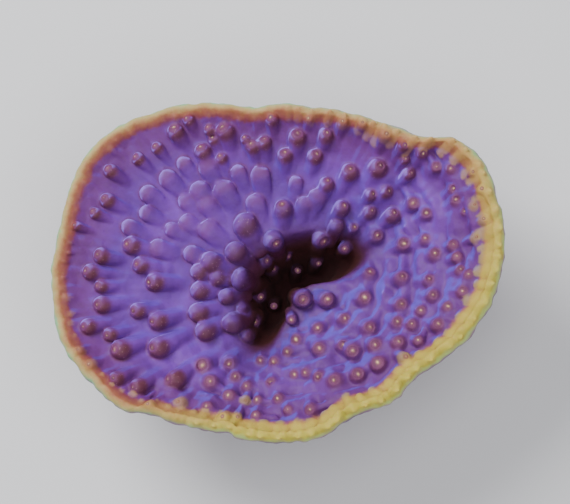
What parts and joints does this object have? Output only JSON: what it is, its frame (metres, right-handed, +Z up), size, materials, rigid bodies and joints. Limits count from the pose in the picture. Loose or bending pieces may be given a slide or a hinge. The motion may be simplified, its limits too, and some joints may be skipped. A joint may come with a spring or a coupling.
{
  "type": "cup coral",
  "caption": "Stony cup-shaped coral colony on a short cut-off stalk, with tube-shaped corallites over its inner face and a thick pale growing margin.",
  "frame": {"origin": "middle of the object's plan box, on the surface that its cut foot rests on", "axes": "+Z up out of the cup's mouth, +X along the cup's long side, +Y along its short side towards the far margin"},
  "size_m": [0.12, 0.091, 0.052],
  "materials": {
    "coral": "satin"
  },
  "bodies": {
    "root": {"cup_coral": "coral"}
  },
  "joints": []
}
